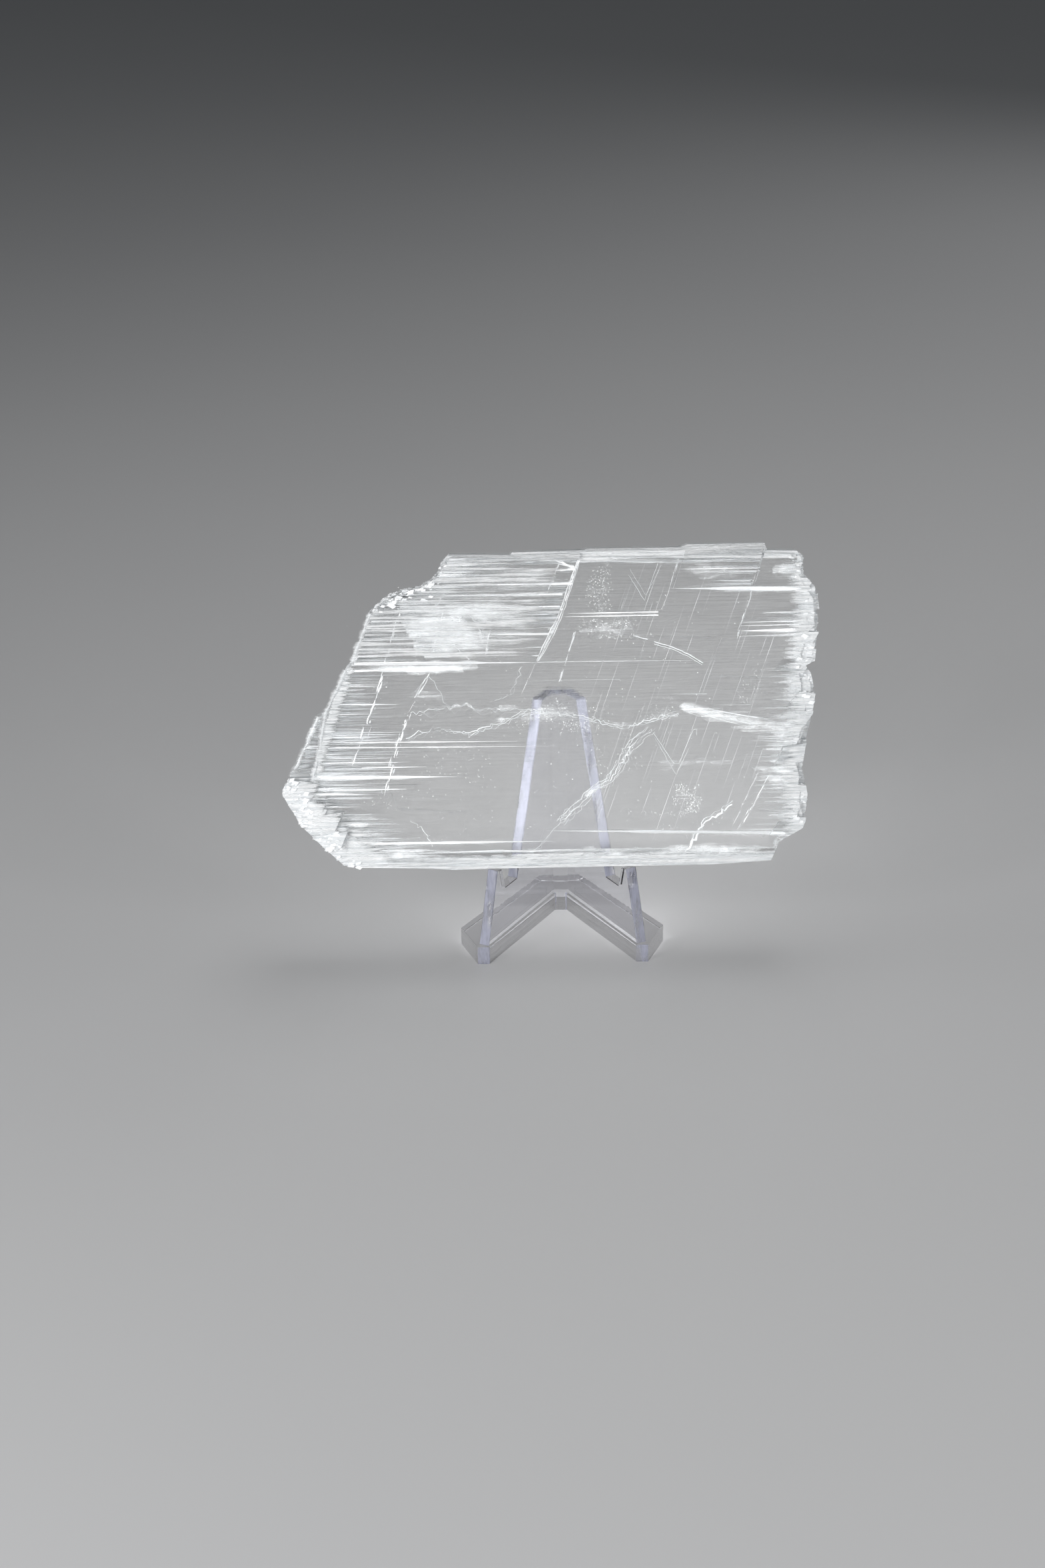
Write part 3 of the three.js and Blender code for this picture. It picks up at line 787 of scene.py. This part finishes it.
# Soft white blade that runs in from the right end
blade = {"line": [(27.6, 37.6), (28.6, 37.6), (31, 37), (35, 35.8), (40, 34.6), (46, 33.4), (52, 32)],
         "heights": [1.2, 3.2, 4.4, 4.8, 5, 6, 7], "covers": [0.3, 0.52, 0.56, 0.55, 0.5, 0.48, 0.42], "w": 8.8,
         "depth": 1.4, "streaks": 18}

veils = Heap()
crystalFibresAndHighlights(veils)
crystalFractures(veils)
for patch in milkyPatches:
    milkyPatch(veils, *patch)
veils.lance([(u, v, blade["w"]) for u, v in blade["line"]], blade["heights"], blade["depth"], blade["covers"])
veils.made("crystalVeils", veilWhite())

# Grains and dust: middle, half size, how many, largest grain
grainPatches = [
    ((9.5, 65), (3.2, 7.5), 600, 0.45),
    ((12, 55.6), (8, 3), 600, 0.45),
    ((29.5, 15), (3.6, 5), 420, 0.55),
    ((0, 35.5), (12, 4), 700, 0.48),
    ((24, 37), (6, 3), 260, 0.3),
    ((46, 41), (5, 5), 200, 0.35),
    ((12, 24), (8, 8), 160, 0.35),
    ((-28, 30), (16, 14), 240, 0.35),
    ((-41, 20), (9, 9), 200, 0.35),
    ((30, 10), (22, 4), 260, 0.35),
    ((-20, 12), (24, 6), 160, 0.35),
    ((0, 38), (52, 32), 1300, 0.42),
]


def crystalGrains():
    heap = Heap()
    for middle, half, count, largest in grainPatches:
        nests = rng.uniform(-0.75, 0.75, (count // 30, 2))
        for nest in nests[rng.integers(0, len(nests), count)]:
            u, v = (nest + np.clip(rng.normal(0, 0.16, 2), -0.25, 0.25)) * half + middle
            size = 0.08 + (largest - 0.08) * rng.beta(1.1, 3)
            heap.grain(np.array([u, v, rng.uniform(3, 9.8)]), size)
    return heap.made("crystalGrains", silkWhite("grainWhite", (0.8, 0.82, 0.83), (0.95, 0.96, 0.96)))


# Chips that crowd the rough ends: line they follow, how far from it they spread, how many, their sizes
chipEdges = [
    {"line": [(-49, 2), (-54, 6.5), (-58.6, 12), (-62, 17.6), (-63.4, 20)], "spread": 3.2, "count": 600, "size": 0.4},
    {"line": [(-41, 61.6), (-36, 64.4), (-31.5, 65.2), (-28.8, 66.9), (-26.8, 70.5)], "spread": 2.2, "count": 220,
     "size": 0.38},
    {"line": [(56, 71), (58.6, 64), (59, 55), (56, 46.6), (58, 40.5), (55.8, 27.8), (55.4, 18), (55.6, 10)],
     "spread": 1.8, "count": 380, "size": 0.38},
]


# Distance of each point from a line of corners, in the face
def nearLine(points, corners):
    nearest = np.full(len(points), np.inf)
    for a, b in zip(np.array(corners[:-1], float), np.array(corners[1:], float)):
        share = np.clip(((points - a) @ (b - a)) / ((b - a) @ (b - a)), 0, 1)
        nearest = np.minimum(nearest, np.linalg.norm(points - a - share[:, None] * (b - a), axis=1))
    return nearest


# Places spread evenly over the part of the crystal's skin that lies near a line
def skinPlaces(corners, spread, count):
    mesh = crystal.data
    mesh.calc_loop_triangles()
    places = frameToSlab([vertex.co for vertex in mesh.vertices])
    triangles = places[np.array([triangle.vertices[:] for triangle in mesh.loop_triangles])]
    weight = np.array([triangle.area for triangle in mesh.loop_triangles])
    weight = weight * (nearLine(triangles.mean(1)[:, :2], corners) < spread)
    chosen = triangles[rng.choice(len(triangles), count, p=weight / weight.sum())]
    shares = rng.dirichlet((1, 1, 1), count)
    spots = (chosen * shares[:, :, None]).sum(1)
    return spots[nearLine(spots[:, :2], corners) < spread]


def crystalChips():
    heap = Heap()
    for edge in chipEdges:
        for place in skinPlaces(edge["line"], edge["spread"], edge["count"]):
            size = min(edge["size"] * rng.lognormal(0, 0.5), 2 * edge["size"])
            inside = np.array([math.copysign(size * 0.8, -place[0]), 0, 0])
            heap.chip(place + inside, size)
    return heap.made("crystalChips", silkWhite("chipWhite", (0.82, 0.85, 0.87), (0.96, 0.97, 0.98)))


crystalGrains()
crystalChips()

# Plain pale floor, soft lamps and the camera
studio = {
    "floorSize": 8.0,
    "floorPale": (0.66, 0.66, 0.66),
    "floorShade": (0.62, 0.62, 0.63),
    "worldColour": (0.9, 0.95, 1.0, 1),
    "worldStrength": 0.07,
    "lamps": [
        {"name": "keyLamp", "place": (-0.5, -0.62, 0.27), "size": 0.5, "power": 5.6},
        {"name": "fillLamp", "place": (0.6, -0.55, 0.24), "size": 0.4, "power": 2.3},
        {"name": "lowLamp", "place": (0.05, -0.75, 0.1), "size": 0.3, "power": 0.7},
        {"name": "topLamp", "place": (0.1, 0.2, 0.55), "size": 0.3, "power": 0.6},
        {"name": "backLamp", "place": (0.45, 0.7, 0.45), "size": 0.5, "power": 0.6},
    ],
}


def paleFloor():
    bpy.ops.object.select_all(action="DESELECT")
    bpy.ops.mesh.primitive_grid_add(size=studio["floorSize"], x_subdivisions=8, y_subdivisions=8)
    floor = bpy.context.active_object
    floor.name = "floor"
    made = Finish("paleFloor")
    place = made.node("ShaderNodeTexCoord", output="Object")
    grain = made.node("ShaderNodeTexNoise", None, {"Vector": place, "Scale": 3.0, "Detail": 2.0}, "Fac")
    paint = made.node("ShaderNodeBsdfPrincipled", None, {
        "Base Color": made.blend(grain, studio["floorShade"], studio["floorPale"]),
        "Roughness": 0.55 + grain * 0.1,
    })
    floor.data.materials.append(made.finish(paint))


def lamps(target):
    for lamp in studio["lamps"]:
        bpy.ops.object.light_add(type="AREA", location=lamp["place"])
        made = bpy.context.active_object
        made.name = lamp["name"]
        made.data.size = lamp["size"]
        made.data.energy = lamp["power"]
        towards = target - made.location
        made.rotation_euler = towards.to_track_quat("-Z", "Y").to_euler()


# Image places are pixels of the whole picture, which shows so many millimetres at the crystal
view = {"elevation": 23.5, "roll": 0.9, "distance": 0.7, "imageHeight": 2352, "imageWidth": 1568,
        "mmPerPixel": 0.155, "crystalAt": (825.5, 1061), "sensor": 36}


def lookAt(target):
    elevation = math.radians(view["elevation"])
    roll = math.radians(view["roll"])
    levelUp = Vector((0, math.sin(elevation), math.cos(elevation)))
    back = Vector((0, -math.cos(elevation), math.sin(elevation)))
    side = Vector((1, 0, 0))
    right = side * math.cos(roll) - levelUp * math.sin(roll)
    up = levelUp * math.cos(roll) + side * math.sin(roll)
    step = view["mmPerPixel"] * mm
    aside = (view["crystalAt"][0] - view["imageWidth"] / 2) * step
    above = (view["imageHeight"] / 2 - view["crystalAt"][1]) * step
    aim = target - right * aside - up * above
    bpy.ops.object.camera_add()
    camera = bpy.context.active_object
    camera.name = "camera"
    place = aim + back * view["distance"]
    axes = Matrix((right, up, back)).transposed().to_4x4()
    camera.matrix_world = Matrix.Translation(place) @ axes
    camera.data.sensor_fit = "VERTICAL"
    camera.data.sensor_height = view["sensor"]
    camera.data.lens = view["sensor"] * view["distance"] / (view["imageHeight"] * step)
    camera.data.clip_start = 0.01
    bpy.context.scene.camera = camera


crystalLow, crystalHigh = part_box("selenite_crystal")
crystalMiddle = (crystalLow + crystalHigh) / 2
paleFloor()
lamps(crystalMiddle)
lookAt(crystalMiddle)
world = bpy.data.worlds.new("studioWorld")
world.use_nodes = True
background = world.node_tree.nodes["Background"]
background.inputs["Color"].default_value = studio["worldColour"]
background.inputs["Strength"].default_value = studio["worldStrength"]
bpy.context.scene.world = world
bpy.context.scene.view_settings.view_transform = "Standard"
bpy.context.scene.cycles.max_bounces = 24
bpy.context.scene.cycles.transmission_bounces = 20
bpy.context.scene.cycles.transparent_max_bounces = 48
print("studio ready")
